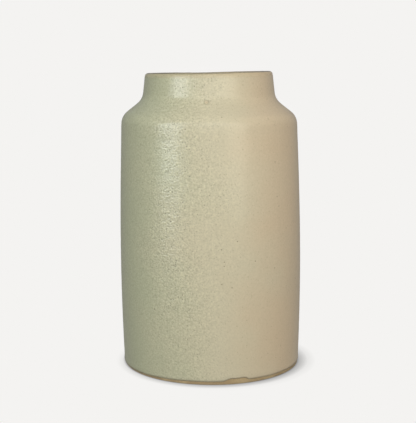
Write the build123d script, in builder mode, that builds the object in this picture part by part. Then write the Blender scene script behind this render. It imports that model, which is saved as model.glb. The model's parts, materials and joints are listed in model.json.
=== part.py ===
"""Wheel-thrown stoneware vase: a clay pot with a coat of glaze outside and another inside.

Millimetres, +Z up. The origin is on the table under the middle of the belly. The pot leans a
little towards -X, so everything that was turned on the wheel shares one leaning axis.
"""
import math
import os

from build123d import *

# Driving dimensions. Radii are of the bare clay, and heights run along the wheel axis.
RIM_HEIGHT = 248.8            # crown of the clay lip: the glazed vase stands about 250 mm high
LEAN_ANGLE = 0.55             # degrees, towards -X going up
WALL_THICKNESS = 6.5
GLAZE_THICKNESS = 0.6

LOWER_WALL_RADIUS = 76.0
LOWER_WALL_HEIGHT = 14.0      # below here the wall runs straight down to the foot
BELLY_RADIUS = 77.0
BELLY_HEIGHT = 80.0
UPPER_WALL_RADIUS = 75.3
UPPER_WALL_HEIGHT = 170.0     # above here it runs straight up to the shoulder
SHOULDER_HEIGHT = 212.1       # where wall and shoulder would meet if their edge were sharp
SHOULDER_ROUNDING = 12.5
NECK_RADIUS = 55.7            # where shoulder and neck would meet if the cove were sharp
NECK_HEIGHT = 226.4
COVE_ROUNDING = 14.2
LIP_RADIUS = 53.1
MOUTH_RADIUS = 48.2
LIP_ROUNDING = 2.4

INNER_NECK_HEIGHT = 224.1     # these two keep the shoulder as thick as the wall
INNER_SHOULDER_HEIGHT = 208.9
INNER_NECK_ROUNDING = 10.0
INNER_SHOULDER_ROUNDING = 8.0
FLOOR_HEIGHT = 12.0           # top of the clay floor above the table
FLOOR_ROUNDING = 16.0
INNER_FOOT_RADIUS = 69.0      # the inside wall curves down to here, then runs straight
INNER_FOOT_HEIGHT = 40.0

FOOT_RECESS_DEPTH = 2.0       # kept under the glaze line, so the foot is bare underneath
FOOT_RECESS_RADIUS = 66.6
FOOT_RECESS_SLOPE = 2.5       # how far the side of the recess draws in as it rises
FOOT_RECESS_ROUNDING = 2.0
FOOT_EDGE_ROUNDING = 0.5
FOOT_STOCK = 2.0              # clay below the table plane, cut away level

GLAZE_LINE_HEIGHT = 2.2       # the foot is bare clay below this
GLAZE_SEAM_DEPTH = 3.0        # the two glazes meet inside the mouth, this far below the lip
BARE_PATCH_CENTRE = 18.0      # along X, where the glaze missed the front of the foot
BARE_PATCH_WIDTH = 19.0
BARE_PATCH_RISE = 2.5

lean = math.radians(LEAN_ANGLE)
wheel_axis = Axis((BELLY_HEIGHT * math.tan(lean), 0, 0), (-math.sin(lean), 0, math.cos(lean)))
# Half sections are drawn on this plane: X is the radius, Y the height along the wheel axis.
lathe_plane = Plane(wheel_axis.position, x_dir=(math.cos(lean), 0, math.sin(lean)), z_dir=(0, -1, 0))


def run_on(curve, end, height):
    """Point where a curve, carried on straight from its start (0) or end (1), meets a height."""
    heading = curve % end
    return curve @ end + heading * ((height - (curve @ end).Y) / heading.Y)


# Up the outside of the clay, over the lip and a little way into the mouth.
with BuildLine() as outside:
    outer_wall = ThreePointArc(
        (LOWER_WALL_RADIUS, LOWER_WALL_HEIGHT),
        (BELLY_RADIUS, BELLY_HEIGHT),
        (UPPER_WALL_RADIUS, UPPER_WALL_HEIGHT),
    )
    over_lip = FilletPolyline(
        outer_wall @ 1,
        run_on(outer_wall, 1, SHOULDER_HEIGHT),
        (NECK_RADIUS, NECK_HEIGHT),
        (LIP_RADIUS, RIM_HEIGHT),
        (MOUTH_RADIUS, RIM_HEIGHT),
        (MOUTH_RADIUS, RIM_HEIGHT - GLAZE_SEAM_DEPTH),
        radius=(SHOULDER_ROUNDING, COVE_ROUNDING, LIP_ROUNDING, LIP_ROUNDING),
    )

# Down the inside of the clay and across the floor to the wheel axis.
with BuildLine() as inside:
    inner_wall = ThreePointArc(
        (UPPER_WALL_RADIUS - WALL_THICKNESS, UPPER_WALL_HEIGHT),
        (BELLY_RADIUS - WALL_THICKNESS, BELLY_HEIGHT),
        (INNER_FOOT_RADIUS, INNER_FOOT_HEIGHT),
    )
    FilletPolyline(
        over_lip @ 1,
        (MOUTH_RADIUS, INNER_NECK_HEIGHT),
        run_on(inner_wall, 0, INNER_SHOULDER_HEIGHT),
        inner_wall @ 0,
        radius=(INNER_NECK_ROUNDING, INNER_SHOULDER_ROUNDING),
    )
    FilletPolyline(
        inner_wall @ 1,
        run_on(inner_wall, 1, FLOOR_HEIGHT),
        (0, FLOOR_HEIGHT),
        radius=(FLOOR_ROUNDING,),
    )

# From the axis under the floor, round the foot ring and up to the start of the outer wall.
with BuildLine() as underside:
    FilletPolyline(
        (0, FLOOR_HEIGHT),
        (0, FOOT_RECESS_DEPTH),
        (FOOT_RECESS_RADIUS - FOOT_RECESS_SLOPE, FOOT_RECESS_DEPTH),
        (FOOT_RECESS_RADIUS, -FOOT_STOCK),
        run_on(outer_wall, 0, -FOOT_STOCK),
        outer_wall @ 0,
        radius=(0, FOOT_RECESS_ROUNDING, 0, 0),
    )

# The space inside the clay, closed along the axis and level with the seam in the mouth.
with BuildLine() as cavity:
    add(inside.line)
    Polyline((0, FLOOR_HEIGHT), (0, RIM_HEIGHT - GLAZE_SEAM_DEPTH), over_lip @ 1)

clay_outline = (outside.line, inside.line, underside.line)

# The thrown pot: wall, shoulder, neck, lip, floor and turned foot ring in one piece of clay.
with BuildPart() as stoneware_body:
    with BuildSketch(lathe_plane):
        make_face(clay_outline)
    revolve(axis=wheel_axis)
    split(bisect_by=Plane.XY, keep=Keep.TOP)
    foot_face = stoneware_body.faces().sort_by(Axis.Z)[0]
    fillet(foot_face.edges(), FOOT_EDGE_ROUNDING)

# Outside glaze, from just above the foot to the seam in the mouth, with the patch it missed.
with BuildPart() as outer_glaze:
    with BuildSketch(lathe_plane):
        make_face(clay_outline)
        offset(amount=GLAZE_THICKNESS)
        make_face(clay_outline, mode=Mode.SUBTRACT)
        make_face(cavity.line, mode=Mode.SUBTRACT)
        with Locations((0, GLAZE_LINE_HEIGHT)):
            Rectangle(2 * BELLY_RADIUS, RIM_HEIGHT, align=Align.MIN, mode=Mode.INTERSECT)
    revolve(axis=wheel_axis)
    with BuildSketch(Plane.XZ):
        with Locations((BARE_PATCH_CENTRE, GLAZE_LINE_HEIGHT)):
            SlotOverall(BARE_PATCH_WIDTH, 2 * BARE_PATCH_RISE)
    extrude(amount=2 * BELLY_RADIUS, mode=Mode.SUBTRACT)

# Inside glaze, from the seam down the wall and across the floor.
with BuildPart() as liner_glaze:
    with BuildSketch(lathe_plane):
        make_face(clay_outline)
        offset(amount=GLAZE_THICKNESS)
        make_face(clay_outline, mode=Mode.SUBTRACT)
        make_face(cavity.line, mode=Mode.INTERSECT)
    revolve(axis=wheel_axis)

stoneware_body.part.label = "stoneware_body"
outer_glaze.part.label = "outer_glaze"
liner_glaze.part.label = "liner_glaze"

os.makedirs("parts", exist_ok=True)
export_step(stoneware_body.part, "parts/stoneware_body.step")
export_step(outer_glaze.part, "parts/outer_glaze.step")
export_step(liner_glaze.part, "parts/liner_glaze.step")
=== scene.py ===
import json
import math
from collections import namedtuple

import bmesh
import bpy
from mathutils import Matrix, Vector, noise


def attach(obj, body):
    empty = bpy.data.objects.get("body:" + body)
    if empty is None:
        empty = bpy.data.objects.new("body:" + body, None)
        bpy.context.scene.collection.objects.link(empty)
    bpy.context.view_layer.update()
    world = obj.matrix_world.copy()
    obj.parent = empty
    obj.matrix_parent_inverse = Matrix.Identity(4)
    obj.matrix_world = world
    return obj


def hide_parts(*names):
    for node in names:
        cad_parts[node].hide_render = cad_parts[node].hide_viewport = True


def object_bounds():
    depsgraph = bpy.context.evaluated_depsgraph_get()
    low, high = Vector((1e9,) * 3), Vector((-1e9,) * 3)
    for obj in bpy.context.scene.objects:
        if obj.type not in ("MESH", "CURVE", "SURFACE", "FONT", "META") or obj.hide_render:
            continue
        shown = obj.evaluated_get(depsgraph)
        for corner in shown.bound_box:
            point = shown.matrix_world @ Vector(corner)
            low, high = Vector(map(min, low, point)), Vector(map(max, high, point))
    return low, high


# A hand-thrown stoneware vase, from the CAD's section: the clay and its two coats of glaze, on a
# pale floor in a soft light.

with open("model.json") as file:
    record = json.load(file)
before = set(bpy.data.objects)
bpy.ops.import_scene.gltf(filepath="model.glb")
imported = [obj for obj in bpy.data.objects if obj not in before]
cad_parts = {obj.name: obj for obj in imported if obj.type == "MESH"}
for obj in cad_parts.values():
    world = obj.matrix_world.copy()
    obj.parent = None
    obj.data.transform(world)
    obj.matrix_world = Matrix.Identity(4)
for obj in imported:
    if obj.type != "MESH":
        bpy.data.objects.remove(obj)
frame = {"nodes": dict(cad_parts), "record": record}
cad_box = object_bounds()

MM = 0.001

# The wheel axis that every turned surface shares, read from the mouth's mount.
mouth = next(m for m in frame["record"]["mounts"] if m["name"] == "mouth")
axis = Vector(mouth["axis"]).normalized()
axis_foot = Vector(mouth["pos_m"]) - axis * (mouth["pos_m"][2] / axis.z)
to_the_back = Vector((0, 1, 0))
to_the_right = to_the_back.cross(axis)

# The mesh of a turned piece.
AROUND = 384                  # faces round the pot
VISIBLE_STEP = 1.5 * MM       # between rings on a face that shows
HIDDEN_STEP = 9 * MM          # between rings where one piece covers another
SHARPEST_TURN = math.radians(11)
CORNER = math.radians(50)     # a sharper turn of the section is a real edge
SAMPLE = 0.1 * MM             # how finely a section is walked
FINE_STEP = 0.25 * MM         # between rings close to a coat's edge
FINE_REACH = 1.5 * MM
NO_RADIUS = 0.01 * MM         # a ring smaller than this is a point on the axis
SAME_PLACE = 1e-6             # metres: points closer than this are one
NO_LENGTH = 1e-7              # metres: too short to have a direction

# How far the hand-thrown form strays from the turned one.
SWAY = 0.35 * MM
SWAY_WAVELENGTH = 90 * MM
THROWING_RING_DEPTH = 0.03 * MM
THROWING_RING_PITCH = 9 * MM
THROWING_RING_CHANGE = 50 * MM            # the rings grow and fade over about this height
RIM_TILT = math.radians(0.4)  # more than the lean, up towards +X
RIM_WAVE = 0.15 * MM
RIM_DIP = 0.35 * MM           # how much lower the rim is at the front and back than at the sides
RIM_SAG = 0.4 * MM            # and a little lower again here, left of the middle
RIM_SAG_PLACE = -8 * MM
RIM_SAG_WIDTH = 20 * MM
RIM_REACH = 25 * MM
SHOULDER_TILT = math.radians(0.55)        # down towards +X
SHOULDER_START = 185 * MM                 # the tilt sets in here, is full between the next two
SHOULDER_FULL = (205 * MM, 232 * MM)
SHOULDER_END = 244 * MM                   # and is gone here
LEVEL_REACH = 2.5 * MM        # the foot is cut level, and the lean sets in above it

# The two coats of glaze.
COAT = 0.6 * MM
COAT_RELIEF = 0.05 * MM
COAT_RELIEF_SIZE = 7 * MM
EDGE_REACH = 11 * MM          # the lower edge's ups and downs fade out this far above it
EDGE_WANDER = 0.4 * MM
EDGE_DIP = 0.5 * MM           # the edge is this much lower at the sides than front and back
EDGE_CURL = 0.8 * MM          # the coat thins to nothing over this height
SEAM_CURL = 0.5 * MM
BEAD = 0.25 * MM
BEAD_HEIGHT = 1.4 * MM

# The patch at the front of the foot that the glaze missed: places along X, and rises.
PATCH_START = 9 * MM
PATCH_FULL = 16 * MM
PATCH_END = 28 * MM
PATCH_STEP = 3 * MM           # it steps down over this much, to a low tail
PATCH_TAIL = 52 * MM
PATCH_RISE = 2.1 * MM
PATCH_TAIL_RISE = 0.3 * MM
PATCH_RIPPLE = 0.35 * MM
PATCH_RIPPLE_SIZE = 3 * MM

# A small crater in the glaze where the neck meets the shoulder.
CRATER_ANGLE = math.radians(-2)
CRATER_HEIGHT = 226 * MM
CRATER_RADIUS = 1.9 * MM
CRATER_DEPTH = 0.35 * MM
CRATER_LIP = 0.12 * MM

LINER_STEP = 2.2 * MM         # between the liner's rings

# The clay: turning marks under the foot, and where it shows.
TURNING_DEPTH = 0.12 * MM
TURNING_PITCH = 3.2 * MM
TURNED_MARGIN = 13 * MM       # they are this far inside the belly's radius,
TURNED_ABOVE = 1 * MM         # and below this height over the glaze line
FOOT_REACH = 10 * MM          # the clay shows below here


def smooth_step(low, high, value):
    t = min(max((value - low) / (high - low), 0.0), 1.0)
    return t * t * (3 - 2 * t)


def bell(distance, width):
    return math.exp(-((distance / width) ** 2))


# ---------------------------------------------------------------- sections of the CAD nodes

def section(node):
    """Half section of a node: a chain of points (radius, height) about the wheel axis.

    It goes clockwise, with the radius to the right and the height up. One that meets the axis
    starts at its higher end there.
    """
    mesh = bmesh.new()
    mesh.from_mesh(frame["nodes"][node].data)
    bmesh.ops.remove_doubles(mesh, verts=mesh.verts, dist=SAME_PLACE)
    for normal, clear in ((to_the_right, True), (to_the_back, False)):
        geometry = mesh.verts[:] + mesh.edges[:] + mesh.faces[:]
        cut = bmesh.ops.bisect_plane(
            mesh, geom=geometry, plane_co=axis_foot, plane_no=normal, dist=SAME_PLACE, clear_inner=clear
        )
    at = {}
    for edge in cut["geom_cut"]:
        if isinstance(edge, bmesh.types.BMEdge):
            for vert in edge.verts:
                at.setdefault(vert, []).append(edge)
    ends = [v for v in at if len(at[v]) == 1]
    vert = max(ends or at, key=lambda v: v.co.z)
    chain, used = [vert], set()
    while True:
        ahead = [e for e in at[vert] if e not in used]
        if not ahead:
            break
        used.add(ahead[0])
        vert = ahead[0].other_vert(vert)
        chain.append(vert)
    places = [v.co - axis_foot for v in chain]
    points = [Vector((p.dot(to_the_right), p.dot(axis))) for p in places]
    mesh.free()
    around = sum(a.x * b.y - b.x * a.y for a, b in zip(points, points[1:]))
    return points if ends or around < 0 else points[::-1]


def turn(before, here, after):
    """How sharply a chain of points turns, and nothing where two of them are one."""
    if min((here - before).length, (after - here).length) < NO_LENGTH:
        return 0.0
    return abs((here - before).angle_signed(after - here))


def split_at_corners(points):
    """The chain as smooth runs that meet at real edges. A closed one starts at its inner foot."""
    if (points[0] - points[-1]).length < SAME_PLACE:
        points = points[:-1]
        start = min(range(len(points)), key=lambda i: points[i].x + points[i].y)
        points = points[start:] + points[:start + 1]
    runs, run = [], [points[0]]
    for before, here, after in zip(points, points[1:], points[2:]):
        run.append(here)
        if turn(before, here, after) > CORNER:
            runs.append(run)
            run = [here]
    run.append(points[-1])
    return runs + [run]


def walk(run):
    """Points close together along a smooth curve through a run's points."""
    points = [p for i, p in enumerate(run) if i == 0 or (p - run[i - 1]).length > SAME_PLACE]
    tangents = []
    for i, here in enumerate(points):
        back = here - points[i - 1] if i else points[1] - here
        on = points[i + 1] - here if i + 1 < len(points) else back
        blend = back.normalized() * on.length + on.normalized() * back.length
        tangents.append(blend / (back.length + on.length))
    walked = []
    for i, (a, b) in enumerate(zip(points, points[1:])):
        length = (b - a).length
        steps = max(round(length / SAMPLE), 1)
        for k in range(steps):
            t = k / steps
            walked.append(
                a * (1 + 2 * t) * (1 - t) ** 2
                + b * (3 - 2 * t) * t ** 2
                + tangents[i] * (length * t * (1 - t) ** 2)
                - tangents[i + 1] * (length * t ** 2 * (1 - t))
            )
    return walked + [points[-1]]


# A ring of vertices: where it is in the section, which way is out of the material there, and
# how far it is along the face from its two ends.
Ring = namedtuple("Ring", "spot normal from_start to_end")


def rings(run, step_at, fine_ends=False):
    """Rings along a run, which goes clockwise: closer where it bends, and near its ends."""
    walked = walk(run)
    lengths = [(b - a).length for a, b in zip(walked, walked[1:])]
    total = sum(lengths)
    chosen, spent, gone = [0], 0.0, 0.0
    distances = [0.0]
    for i in range(1, len(walked) - 1):
        gone += lengths[i - 1]
        spent += lengths[i - 1] / step_at(walked[i])
        spent += turn(walked[i - 1], walked[i], walked[i + 1]) / SHARPEST_TURN
        if fine_ends:
            spent += lengths[i - 1] / FINE_STEP * bell(min(gone, total - gone), FINE_REACH)
        if spent >= 1:
            chosen.append(i)
            distances.append(gone)
            spent = 0.0
    chosen.append(len(walked) - 1)
    distances.append(total)
    made = []
    for i, distance in zip(chosen, distances):
        along = (walked[min(i + 1, len(walked) - 1)] - walked[max(i - 1, 0)]).normalized()
        made.append(Ring(walked[i], Vector((-along.y, along.x)), distance, total - distance))
    return made


# ---------------------------------------------------------------- the hand-thrown form

def place(radius, height, angle):
    """A point of the turned form. Angle 0 is the front, and it grows towards +X."""
    outward = to_the_right * math.sin(angle) - to_the_back * math.cos(angle)
    point = axis_foot + outward * radius + axis * height
    level = smooth_step(LEVEL_REACH, foot_height, height)
    point.z += to_the_right.z * radius * (1 - math.sin(angle)) * level
    return throw(point, outward, radius, height, angle)


def throw(point, outward, radius, height, angle):
    """Moves a turned point to where the potter's hands left it."""
    share = min(radius / belly_radius, 1.0)
    sway = noise.noise(point / SWAY_WAVELENGTH + Vector((3.1, 7.7, 1.3)))
    depth = THROWING_RING_DEPTH * (0.5 + noise.noise(Vector((height / THROWING_RING_CHANGE, 4.0, 9.0))))
    ring = math.sin(math.tau * height / THROWING_RING_PITCH + angle)
    moved = point + outward * share * (SWAY * sway + depth * ring)
    rim = smooth_step(rim_height - RIM_REACH, rim_height, height)
    wave = RIM_WAVE * noise.noise(outward * 1.7 + Vector((0, 0, 5)))
    wave -= RIM_DIP * math.cos(angle) ** 2 + RIM_SAG * bell(point.x - RIM_SAG_PLACE, RIM_SAG_WIDTH)
    moved.z += rim * (math.tan(RIM_TILT) * point.x + wave)
    shoulder = smooth_step(SHOULDER_START, SHOULDER_FULL[0], height)
    shoulder *= smooth_step(SHOULDER_END, SHOULDER_FULL[1], height)
    moved.z -= shoulder * math.tan(SHOULDER_TILT) * point.x
    moved.z = max(moved.z, 0.0)
    return moved


def turned_mesh(name, faces):
    """A turned piece from its faces in order, each as (rings, shape).

    shape(ring, angle) gives a vertex and the values that the material reads there.
    """
    verts, quads, starts, values = [], [], [], []
    loop = [(ring, shape) for face_rings, shape in faces for ring in face_rings]
    for ring, shape in loop:
        starts.append(len(verts))
        for k in range(AROUND if ring.spot.x > NO_RADIUS else 1):
            vert, value = shape(ring, math.tau * k / AROUND)
            verts.append(vert)
            values.append(value)
    starts.append(len(verts))
    goes_round = loop[0][0].spot.x > NO_RADIUS
    for a in range(len(loop) if goes_round else len(loop) - 1):
        b = (a + 1) % len(loop)
        quads += band(starts[a], starts[a + 1] - starts[a], starts[b], starts[b + 1] - starts[b])
    mesh = bpy.data.meshes.new(name)
    mesh.from_pydata(verts, [], quads)
    for key in values[0]:
        made = mesh.attributes.new(key, "FLOAT", "POINT")
        made.data.foreach_set("value", [value[key] for value in values])
    face_outward(mesh)
    mesh.shade_smooth()
    piece = bpy.data.objects.new(name, mesh)
    bpy.context.scene.collection.objects.link(piece)
    return piece


def band(a, a_count, b, b_count):
    """Faces between two rings, either of which may be one vertex on the axis."""
    around = max(a_count, b_count)
    faces = []
    for k in range(around):
        n = (k + 1) % around
        if a_count == 1:
            faces.append((a, b + n, b + k))
        elif b_count == 1:
            faces.append((a + k, a + n, b))
        else:
            faces.append((a + k, a + n, b + n, b + k))
    return faces


def face_outward(mesh):
    """Turns the faces of a closed mesh outward."""
    solid = bmesh.new()
    solid.from_mesh(mesh)
    if solid.calc_volume(signed=True) < 0:
        bmesh.ops.reverse_faces(solid, faces=solid.faces)
    solid.to_mesh(mesh)
    solid.free()


# ---------------------------------------------------------------- the three pieces

clay_section = section("stoneware_body")
outer_seat, _, outer_skin, _ = split_at_corners(section("outer_glaze"))
liner_skin, _, liner_seat = split_at_corners(section("liner_glaze"))

belly_radius = max(p.x for p in clay_section)
rim_height = max(p.y for p in clay_section)
foot_height = min(p.y for p in clay_section)
glaze_line = outer_seat[0].y
wall_slope = (outer_seat[1] - outer_seat[0]).normalized()
mouth_clear = 1.05 * outer_seat[-1].x     # a wider spot is outside the mouth


def edge_rise(angle):
    """How far the lower edge of the outer glaze stands above its turned height."""
    outward = Vector((math.sin(angle), -math.cos(angle), 0))
    slow = noise.noise(outward * 2.1 + Vector((0, 0, 8.2)))
    quick = noise.noise(outward * 9 + Vector((0, 0, 3.3)))
    rise = EDGE_WANDER * (slow + 0.4 * quick) - EDGE_DIP * math.sin(angle) ** 2
    if outward.y > 0:
        return rise
    x = outward.x * belly_radius
    full = smooth_step(PATCH_START, PATCH_FULL, x) * smooth_step(PATCH_END + PATCH_STEP, PATCH_END, x)
    tail = smooth_step(PATCH_FULL, PATCH_END, x) * smooth_step(PATCH_TAIL, PATCH_END, x)
    ripple = PATCH_RIPPLE * full * noise.noise(Vector((x / PATCH_RIPPLE_SIZE, 0, 2)))
    return rise + max(PATCH_RISE * full, PATCH_TAIL_RISE * tail) + ripple


def slide(spot, angle):
    """A point low on the outer glaze, moved along the wall with the glaze's edge."""
    if spot.x < mouth_clear:
        return spot
    share = max(0.0, 1 - (spot.y - glaze_line) / EDGE_REACH)
    return spot + wall_slope * (edge_rise(angle) * share)


def thinning(distance, curl):
    """How much of a coat's thickness is left this far from its edge."""
    t = min(distance / curl, 1.0)
    return math.sqrt(1 - (1 - t) ** 2)


def seam_thinning(distance):
    """The same where the two coats meet, where they keep half."""
    return 0.5 + 0.5 * thinning(distance, SEAM_CURL)


def relief(spot, angle):
    """The slow unevenness of a coat."""
    outward = Vector((math.sin(angle), -math.cos(angle), 0))
    at = (outward * spot.x + Vector((0, 0, spot.y))) / COAT_RELIEF_SIZE
    return COAT_RELIEF * noise.noise(at)


def crater(spot, angle):
    """The small crater in the glaze, with a low lip round it."""
    turned_by = (angle - CRATER_ANGLE + math.pi) % math.tau - math.pi
    away = math.hypot(turned_by * spot.x, spot.y - CRATER_HEIGHT)
    lip = CRATER_LIP * bell(away - 1.5 * CRATER_RADIUS, 0.5 * CRATER_RADIUS)
    return lip - CRATER_DEPTH * bell(away, CRATER_RADIUS)


def seat_vertex(ring, angle):
    """On the side of a coat that lies on the clay."""
    spot = slide(ring.spot, angle)
    return place(spot.x, spot.y, angle), {"height": spot.y / MM, "from_edge": 0.0}


def outer_vertex(ring, angle):
    """On the side of the outer coat that shows."""
    out = COAT * (thinning(ring.to_end, EDGE_CURL) * seam_thinning(ring.from_start) - 1)
    out += BEAD * thinning(ring.to_end, EDGE_CURL) * bell(ring.to_end - BEAD_HEIGHT, BEAD_HEIGHT)
    out += relief(ring.spot, angle) + crater(ring.spot, angle)
    spot = slide(ring.spot, angle) + ring.normal * out
    return place(spot.x, spot.y, angle), {"height": spot.y / MM, "from_edge": ring.to_end / MM}


def liner_vertex(ring, angle):
    """On the side of the liner that shows."""
    out = COAT * (seam_thinning(ring.to_end) - 1) + relief(ring.spot, angle)
    spot = ring.spot + ring.normal * out
    return place(spot.x, spot.y, angle), {"height": spot.y / MM, "from_edge": ring.to_end / MM}


def clay_vertex(ring, angle):
    """On the clay, with turning marks under the foot."""
    out = 0.0
    if ring.spot.y < glaze_line + TURNED_ABOVE and ring.spot.x < belly_radius - TURNED_MARGIN:
        out = TURNING_DEPTH * (math.sin(math.tau * ring.spot.x / TURNING_PITCH + angle) - 1)
    spot = ring.spot + ring.normal * out
    return place(spot.x, spot.y, angle), {"height": spot.y / MM}


def clay_step(spot):
    return VISIBLE_STEP if spot.y < FOOT_REACH else HIDDEN_STEP


def make_pieces():
    skin = rings(outer_skin, lambda spot: VISIBLE_STEP, fine_ends=True)[:-1]
    seat = rings(outer_seat, lambda spot: HIDDEN_STEP)
    outer = turned_mesh("outer_glaze_coat", ((seat, seat_vertex), (skin, outer_vertex)))

    skin = rings(liner_skin, lambda spot: LINER_STEP)
    seat = rings(liner_seat, lambda spot: HIDDEN_STEP)
    liner = turned_mesh("liner_glaze_coat", ((skin, liner_vertex), (seat, seat_vertex)))

    clay = turned_mesh("thrown_clay_body", ((rings(clay_section, clay_step), clay_vertex),))
    return outer, liner, clay


# ---------------------------------------------------------------- materials

class Nodes:
    """Shader nodes being put together. Each method adds one and gives back what comes out of it."""

    def __init__(self, tree):
        self.tree = tree

    def put(self, socket, value):
        if isinstance(value, bpy.types.NodeSocket):
            self.tree.links.new(value, socket)
        else:
            socket.default_value = value

    def add(self, kind, values, **settings):
        """Gives back the node itself."""
        node = self.tree.nodes.new("ShaderNode" + kind)
        for name, setting in settings.items():
            setattr(node, name, setting)
        for name, value in values.items():
            self.put(node.inputs[name], value)
        return node

    def maths(self, operation, a, b):
        return self.add("Math", {0: a, 1: b}, operation=operation).outputs[0]

    def times(self, a, b):
        return self.maths("MULTIPLY", a, b)

    def plus(self, a, b):
        return self.maths("ADD", a, b)

    def build_up(self, start, *parts):
        """A start value, and to it each part times its strength."""
        for part, strength in parts:
            start = self.plus(start, self.times(part, strength))
        return start

    def vector(self, operation, a, b=None):
        node = self.add("VectorMath", {0: a}, operation=operation)
        if b is not None:
            self.put(node.inputs["Scale" if operation == "SCALE" else 1], b)
        return node.outputs["Value" if operation in ("DOT_PRODUCT", "DISTANCE") else "Vector"]

    def mix(self, factor, a, b):
        node = self.add("Mix", {0: factor}, data_type="RGBA")
        self.put(node.inputs[6], a)
        self.put(node.inputs[7], b)
        return node.outputs[2]

    def ease(self, value, low, high, to_low=0.0, to_high=1.0):
        """A value between low and high, eased to lie between to_low and to_high."""
        values = {"Value": value, "From Min": low, "From Max": high, "To Min": to_low, "To Max": to_high}
        return self.add("MapRange", values, interpolation_type="SMOOTHSTEP").outputs[0]


class Shader(Nodes):
    """A material being made. Lengths in it are millimetres."""

    def __init__(self, name):
        self.material = bpy.data.materials.new(name)
        self.material.use_nodes = True
        super().__init__(self.material.node_tree)
        self.surface = self.tree.nodes["Principled BSDF"]

    def place_on_pot(self):
        here = self.add("TexCoord", {}).outputs["Object"]
        return self.vector("SCALE", here, 1 / MM)

    def read(self, name):
        """A value that the piece's mesh holds."""
        return self.add("Attribute", {}, attribute_name=name).outputs["Fac"]

    def cloud(self, at, size, detail=2.0):
        """Soft noise from 0 to 1, mostly near a half, with lumps of about this size."""
        return self.add("TexNoise", {"Vector": at, "Scale": 1 / size, "Detail": detail}).outputs[0]

    def drift(self, at, size, detail=2.0):
        """The same about nothing, from less than a half below it to less than a half above."""
        return self.plus(self.cloud(at, size, detail), -0.5)

    def dots(self, at, size, share, radius):
        """Scattered round dots. This share of the cells of this size holds one, with a radius in cells."""
        cells = self.add("TexVoronoi", {"Vector": at, "Scale": 1 / size})
        number = self.add("SeparateColor", {"Color": cells.outputs["Color"]}).outputs[0]
        dot = self.ease(cells.outputs["Distance"], 1.3 * radius, 0.6 * radius)
        return self.times(dot, self.maths("LESS_THAN", number, share))

    def finish(self, colour, bump, roughness, ior):
        """The material itself. The bump is a height."""
        normal = self.add("Bump", {"Height": bump, "Distance": MM, "Strength": 1.0}).outputs[0]
        for name, value in (
            ("Base Color", colour), ("Roughness", roughness), ("IOR", ior), ("Normal", normal),
        ):
            self.put(self.surface.inputs[name], value)
        return self.material


# Colours, in linear light.
# The grey-green is partly the ash glaze's own green and partly painted cool shade of the pot's -X side;
# the buff is partly the glaze's own and partly painted warm light of its +X side.
GREY_GREEN_AND_COOL_SHADE = (0.47, 0.49, 0.335, 1)
OATMEAL = (0.59, 0.54, 0.385, 1)
BUFF_AND_WARM_LIGHT = (0.62, 0.49, 0.33, 1)
THIN_GLAZE = (0.50, 0.37, 0.20, 1)       # where the clay shows through
# The lip's crest colour is painted shade: the shadowed inside of the far rim, seen just over the near one.
LIP_CREST_PAINTED_SHADE = (0.13, 0.105, 0.065, 1)      # the dark line along the top of the lip
# The lower edge's dark line is partly the coat's own dark edge where it thins and partly painted shade
# under its bead.
GLAZE_EDGE_DARK_AND_SHADE = (0.13, 0.10, 0.055, 1)       # the dark line along the glaze's lower edge
PINHOLE = (0.10, 0.065, 0.035, 1)
LINER = (0.50, 0.50, 0.36, 1)
LINER_POOL = (0.36, 0.40, 0.28, 1)
BARE_CLAY = (0.47, 0.36, 0.20, 1)
TOASTED_CLAY = (0.37, 0.27, 0.145, 1)

GLAZE_IOR = 1.52
CLAY_IOR = 1.5

# The outer glaze changes round the pot, partly in its own colour and partly as painted light: cooler and
# darker towards -X, warmer towards +X. These are places on the belly, in millimetres towards +X,
# and the same angles count above and below it.
GREY_GREEN_TO_OATMEAL = (-75, 15)
OATMEAL_TO_BUFF = (5, 75)
BORDER_DRIFT = 60                        # how far the borders wander, and over what length

# How pebbled it is: two places, or heights, and the share of the pebbling at each.
PEBBLED_LEFT_OF_SMOOTH = (35, -35, 0.2, 1.0)
PEBBLED_FROM_FAR_LEFT = (-65, -25, 0.5, 1.0)
PEBBLED_GOING_UP = (10, 90, 0.7, 1.0)

# Heights over the clay's rim, in millimetres.
LIP_THINS = (-5.3, -1.3)                 # the glaze thins over the lip from the first to the second
# Between these the lip's crest takes its painted shade.
LIP_DARKENS = (0.0, 0.45)

# Distances in millimetres.
CRATER_THINS = (2.2, 0.6)                # from the crater's middle, going in
CRATER_RING_OUTSIDE = (2.8, 2.0)         # a darker ring fades out over these, going in,
CRATER_RING_INSIDE = (1.0, 1.8)          # and over these, going out
EDGE_LINE = (2.2, 0.6)                   # from the coat's lower edge, going down
EDGE_SHADE = (5.5, 1.5)
LINER_POOL_HEIGHTS = (30, 13)
LINER_LIP = (3.0, 0.2)                   # from the seam
CLAY_TOAST_HEIGHTS = (9, 0)

# Pinholes at the front: degrees round from the front towards +X, and millimetres up.
FRONT_PINHOLES = (
    (46.5, 142), (63, 127), (16, 117), (6.5, 111), (8, 101), (8, 97.5), (27.5, 100), (42, 92),
    (6.5, 83), (12.5, 80), (8, 215), (44, 178), (45, 150), (-17, 74), (-36, 60), (-22, 98), (-30, 98),
)
PINHOLE_RADIUS = 0.5
OTHER_PINHOLES_START = (-35, -5)         # millimetres towards the back: the scattered ones set in


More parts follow.
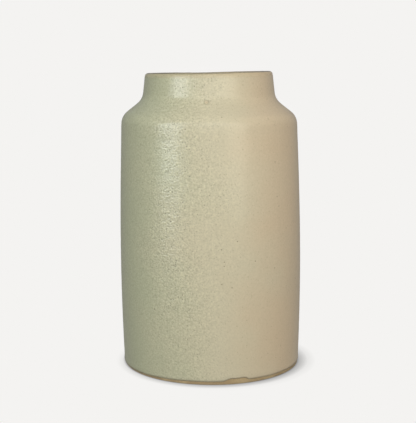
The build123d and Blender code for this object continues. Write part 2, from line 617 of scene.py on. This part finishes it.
def satin_glaze():
    """Opaque satin glaze: grey-green and pebbled on one side of the pot, buff and smooth on the other. The
    grey-green is partly painted cool shade, the buff partly painted warm light.
    """
    s = Shader("satin_ash_glaze")
    at = s.place_on_pot()
    height = s.read("height")
    side = round_the_pot(s, at)
    # Painted light in part: the pot turns cooler and darker towards -X and warmer towards +X, on top of
    # the glaze's own change.
    colour = s.mix(s.ease(side, *GREY_GREEN_TO_OATMEAL), GREY_GREEN_AND_COOL_SHADE, OATMEAL)
    colour = s.mix(s.ease(side, *OATMEAL_TO_BUFF), colour, BUFF_AND_WARM_LIGHT)

    # Pebbles under two millimetres wide, dark specks between them, and a few larger grains.
    pebbled = s.times(s.ease(side, *PEBBLED_LEFT_OF_SMOOTH), s.ease(side, *PEBBLED_FROM_FAR_LEFT))
    pebbled = s.times(pebbled, s.ease(height, *PEBBLED_GOING_UP))
    pebbles = s.cloud(at, size=1.5, detail=1.0)
    lumps = s.drift(at, size=12)
    specks = s.times(s.dots(at, size=1.9, share=0.5, radius=0.24), pebbled)
    grains = s.dots(at, size=4.1, share=0.40, radius=0.13)
    # The pebbles' light and dark is partly the glaze's own mottle and partly painted glints of the sheen
    # on the -X side, where it is strongest.
    mottle_and_painted_glints = s.times(s.plus(pebbles, -0.5), pebbled)
    shade = s.build_up(1.0, (mottle_and_painted_glints, 0.8), (lumps, 0.04), (specks, -0.48), (grains, -0.16))
    colour = s.vector("SCALE", colour, shade)

    thin_on_lip, crest = lip_break(s, at, height)
    thin_in_crater, ring = crater_break(s, at)
    thin = s.maths("MAXIMUM", s.times(thin_on_lip, 0.35), s.times(thin_in_crater, 0.5))
    colour = s.vector("SCALE", colour, s.build_up(1.0, (ring, -0.22)))
    colour = s.mix(thin, colour, THIN_GLAZE)
    # Painted shade along the top of the lip.
    colour = s.mix(crest, colour, LIP_CREST_PAINTED_SHADE)

    holes = pinholes(s, at)
    colour = s.mix(s.times(holes, 0.6), colour, PINHOLE)

    # A dark line along the coat's lower edge, partly its own colour and partly painted shade under the
    # bead, with a fainter darkening above it.
    from_edge = s.read("from_edge")
    edge = s.build_up(0.0, (s.ease(from_edge, *EDGE_LINE), 0.38), (s.ease(from_edge, *EDGE_SHADE), 0.12))
    colour = s.mix(edge, colour, GLAZE_EDGE_DARK_AND_SHADE)

    raised = s.times(pebbles, pebbled)
    bump = s.build_up(0.0, (raised, 0.38), (specks, -0.08), (grains, -0.05), (holes, -0.2))
    broken = s.maths("MAXIMUM", thin, holes)
    roughness = s.build_up(0.23, (lumps, 0.08), (specks, 0.10), (broken, 0.18))
    return s.finish(colour, bump, roughness, GLAZE_IOR)


def round_the_pot(s, at):
    """How far towards +X the belly is at the same angle, wandering a little."""
    outward = s.vector("NORMALIZE", s.vector("MULTIPLY", at, (1, 1, 0)))
    side = s.times(s.vector("DOT_PRODUCT", outward, tuple(to_the_right)), belly_radius / MM)
    return s.build_up(side, (s.drift(at, size=BORDER_DRIFT), BORDER_DRIFT))


def lip_break(s, at, height):
    """Where the glaze breaks to tan over the lip, raggedly, and the painted shade along the lip's crest.
    """
    rim = rim_height / MM
    lip = s.ease(height, rim + LIP_THINS[0], rim + LIP_THINS[1])
    ragged = s.build_up(lip, (s.drift(at, size=6), 0.9))
    thin = s.times(s.ease(ragged, 0.15, 1.0), lip)
    return thin, s.ease(height, rim + LIP_DARKENS[0], rim + LIP_DARKENS[1])


def crater_break(s, at):
    """Where the glaze is thin in the crater, and a darker ring in it."""
    middle = place(surface_radius(CRATER_HEIGHT), CRATER_HEIGHT, CRATER_ANGLE) / MM
    away = s.vector("DISTANCE", at, tuple(middle))
    away = s.build_up(away, (s.drift(at, size=2.2), 3))
    ring = s.times(s.ease(away, *CRATER_RING_OUTSIDE), s.ease(away, *CRATER_RING_INSIDE))
    return s.ease(away, *CRATER_THINS), ring


def pinholes(s, at):
    """The front's own pinholes, and as thinly scattered ones over the rest."""
    elsewhere = s.ease(s.vector("DOT_PRODUCT", at, tuple(to_the_back)), *OTHER_PINHOLES_START)
    holes = s.times(s.dots(at, size=21, share=0.5, radius=0.028), elsewhere)
    for degrees, up in FRONT_PINHOLES:
        middle = place(surface_radius(up * MM), up * MM, math.radians(degrees)) / MM
        away = s.vector("DISTANCE", at, tuple(middle))
        hole = s.ease(away, 1.35 * PINHOLE_RADIUS, 0.6 * PINHOLE_RADIUS)
        holes = s.maths("MAXIMUM", holes, hole)
    return holes


def surface_radius(height):
    """Radius of the outer glaze at a height, on its wall."""
    above = [p for p in outer_skin if p.y >= height and p.x > mouth_clear]
    below = [p for p in outer_skin if p.y <= height and p.x > mouth_clear]
    a, b = min(above, key=lambda p: p.y), max(below, key=lambda p: p.y)
    return a.x if a.y == b.y else b.x + (a.x - b.x) * (height - b.y) / (a.y - b.y)


def liner_glaze():
    """The poured inside glaze: glossier, and deeper in colour where it pooled on the floor."""
    s = Shader("poured_liner_glaze")
    at = s.place_on_pot()
    ragged_height = s.build_up(s.read("height"), (s.drift(at, size=20), 14))
    colour = s.mix(s.ease(ragged_height, *LINER_POOL_HEIGHTS), LINER, LINER_POOL)
    lip = s.ease(s.read("from_edge"), *LINER_LIP)
    colour = s.mix(s.times(lip, 0.7), colour, THIN_GLAZE)
    mottle = s.cloud(at, size=3)
    freckles = s.dots(at, size=5, share=0.4, radius=0.10)
    colour = s.vector("SCALE", colour, s.build_up(0.90, (mottle, 0.2), (freckles, -0.25)))
    bump = s.times(mottle, 0.06)
    roughness = s.build_up(0.18, (s.cloud(at, size=14), 0.16))
    return s.finish(colour, bump, roughness, GLAZE_IOR)


def bare_clay():
    """Sandy stoneware clay, toasted where it was nearest the flame."""
    s = Shader("bare_stoneware_clay")
    at = s.place_on_pot()
    near_shelf = s.ease(s.read("height"), *CLAY_TOAST_HEIGHTS)
    flush = s.build_up(s.cloud(at, size=18, detail=3.0), (near_shelf, 0.12))
    colour = s.mix(s.ease(flush, 0.42, 0.68), BARE_CLAY, TOASTED_CLAY)
    sand = s.cloud(at, size=0.7)
    grog = s.dots(at, size=2.4, share=0.35, radius=0.16)
    dark = s.dots(at, size=3.7, share=0.22, radius=0.11)
    colour = s.vector("SCALE", colour, s.build_up(0.8, (sand, 0.4), (grog, 0.14), (dark, -0.45)))
    bump = s.build_up(0.0, (sand, 0.08), (grog, 0.06), (s.cloud(at, size=4), 0.10))
    roughness = s.build_up(0.72, (sand, 0.2))
    return s.finish(colour, bump, roughness, CLAY_IOR)


# ---------------------------------------------------------------- floor, lights and camera

PAPER = (0.905, 0.896, 0.880, 1)
FLOOR_BOUNCE = (0.30, 0.295, 0.28, 1)    # what the floor sends back to the pot
FLOOR_HALF = 8.0
FLOOR_SHADES = (                         # the way each looks, how far, and how dark it gets
    ((0, 0, 1), 2 * MM, 0.5),
    ((0.1, 0.9, 0.4), 8 * MM, 0.26),
    ((-0.7, 0.55, 0.4), 9 * MM, 0.36),
    ((-0.9, -0.1, 0.35), 16 * MM, 0.25),
)

ROOM_LEVEL = (0.67, 0.675, 0.66, 1)      # light from the room at eye level and below
ROOM_ABOVE = (0.36, 0.36, 0.36, 1)       # and from overhead
ROOM_MIRRORED = (0.30, 0.30, 0.295, 1)   # what the glaze mirrors of the room

CAMERA_DISTANCE = 841.7 * MM
CAMERA_PITCH = math.radians(8.58)
CAMERA_VIEW = math.radians(24.49)
AIM_SIDE = -2.2 * MM
AIM_SHARE = 0.5206                       # how far up the pot the camera looks

centre = (Vector(cad_box[0]) + Vector(cad_box[1])) / 2


def make_floor():
    """A pale floor that runs into the background, and darkens where the pot shades it.

    Each shade looks one way, and falls only where the pot stands in that way.
    """
    half = FLOOR_HALF
    corners = [(-half, -half, 0), (half, -half, 0), (half, half, 0), (-half, half, 0)]
    mesh = bpy.data.meshes.new("floor")
    mesh.from_pydata(corners, [], [(0, 1, 2, 3)])
    floor = bpy.data.objects.new("floor", mesh)
    bpy.context.scene.collection.objects.link(floor)

    s = Shader("pale_floor")
    light = 1.0
    for looks, reach, depth in FLOOR_SHADES:
        way = s.add("CombineXYZ", dict(zip("XYZ", Vector(looks).normalized()))).outputs[0]
        open_to = s.add("AmbientOcclusion", {"Distance": reach, "Normal": way}).outputs["AO"]
        light = s.times(light, s.maths("POWER", open_to, depth))
    seen = s.add("Emission", {"Color": PAPER, "Strength": light}).outputs[0]
    sent_back = s.add("Emission", {"Color": FLOOR_BOUNCE, "Strength": 1.0}).outputs[0]
    to_camera = s.add("LightPath", {}).outputs["Is Camera Ray"]
    both = s.add("MixShader", {0: to_camera, 1: sent_back, 2: seen}).outputs[0]
    s.put(s.tree.nodes["Material Output"].inputs["Surface"], both)
    s.tree.nodes.remove(s.surface)
    mesh.materials.append(s.material)


def make_world():
    """The same pale background to look at, a dimmer room to light the pot, and a dark one to mirror."""
    world = bpy.data.worlds.new("studio")
    world.use_nodes = True
    nodes = Nodes(world.node_tree)
    direction = nodes.add("TexCoord", {}).outputs["Generated"]
    upward = nodes.add("SeparateXYZ", {0: direction}).outputs["Z"]
    ray = nodes.add("LightPath", {}).outputs
    shown = nodes.mix(upward, ROOM_LEVEL, ROOM_ABOVE)
    shown = nodes.mix(ray["Is Glossy Ray"], shown, ROOM_MIRRORED)
    shown = nodes.mix(ray["Is Camera Ray"], shown, PAPER)
    nodes.put(world.node_tree.nodes["Background"].inputs["Color"], shown)
    bpy.context.scene.world = world


def from_centre(azimuth, elevation, distance):
    """A place round the pot: degrees from the front towards +X, degrees up, metres away."""
    a, e = math.radians(azimuth), math.radians(elevation)
    return centre + Vector((math.sin(a) * math.cos(e), -math.cos(a) * math.cos(e), math.sin(e))) * distance


def softbox(name, stands, size, watts, colour, **seen_by):
    """A rectangular lamp that faces the pot. It stands where from_centre puts it."""
    lamp = bpy.data.lights.new(name, "AREA")
    lamp.shape = "RECTANGLE"
    lamp.size, lamp.size_y = size
    lamp.energy = watts
    lamp.color = colour
    box = bpy.data.objects.new(name, lamp)
    box.location = from_centre(*stands)
    box.rotation_euler = (centre - box.location).to_track_quat("-Z", "Y").to_euler()
    for rays, seen in seen_by.items():
        setattr(box, "visible_" + rays, seen)
    bpy.context.scene.collection.objects.link(box)


def make_lights():
    """A soft key light that the glaze doesn't mirror, and two windows that it only mirrors."""
    softbox(
        "key", stands=(2, 27, 0.9), size=(0.7, 0.6), watts=5.15, colour=(1.0, 0.985, 0.95),
        glossy=False,
    )
    softbox(
        "cool_window", stands=(-50, 16, 1.2), size=(0.5, 0.7), watts=6.5, colour=(0.90, 0.97, 1.0),
        diffuse=False,
    )
    softbox(
        "warm_window", stands=(35, 16, 1.2), size=(0.5, 0.8), watts=2.0, colour=(1.0, 0.93, 0.82),
        diffuse=False,
    )


def make_camera():
    data = bpy.data.cameras.new("camera")
    data.angle = CAMERA_VIEW
    data.dof.use_dof = False
    camera = bpy.data.objects.new("camera", data)
    aim = Vector((AIM_SIDE, 0, cad_box[1][2] * AIM_SHARE))
    back = Vector((0, -math.cos(CAMERA_PITCH), math.sin(CAMERA_PITCH)))
    camera.location = aim + back * CAMERA_DISTANCE
    camera.rotation_euler = (math.pi / 2 - CAMERA_PITCH, 0, 0)
    bpy.context.scene.collection.objects.link(camera)
    bpy.context.scene.camera = camera


# ---------------------------------------------------------------- putting it together

outer, liner, clay = make_pieces()
for piece, make_material, node, slot in (
    (outer, satin_glaze, "outer_glaze", "satin_glaze"),
    (liner, liner_glaze, "liner_glaze", "liner_glaze"),
    (clay, bare_clay, "stoneware_body", "bare_clay"),
):
    piece.data.materials.append(make_material())
    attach(piece, "root")
    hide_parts(node)

make_floor()
make_world()
make_lights()
make_camera()
bpy.context.scene.view_settings.view_transform = "Standard"
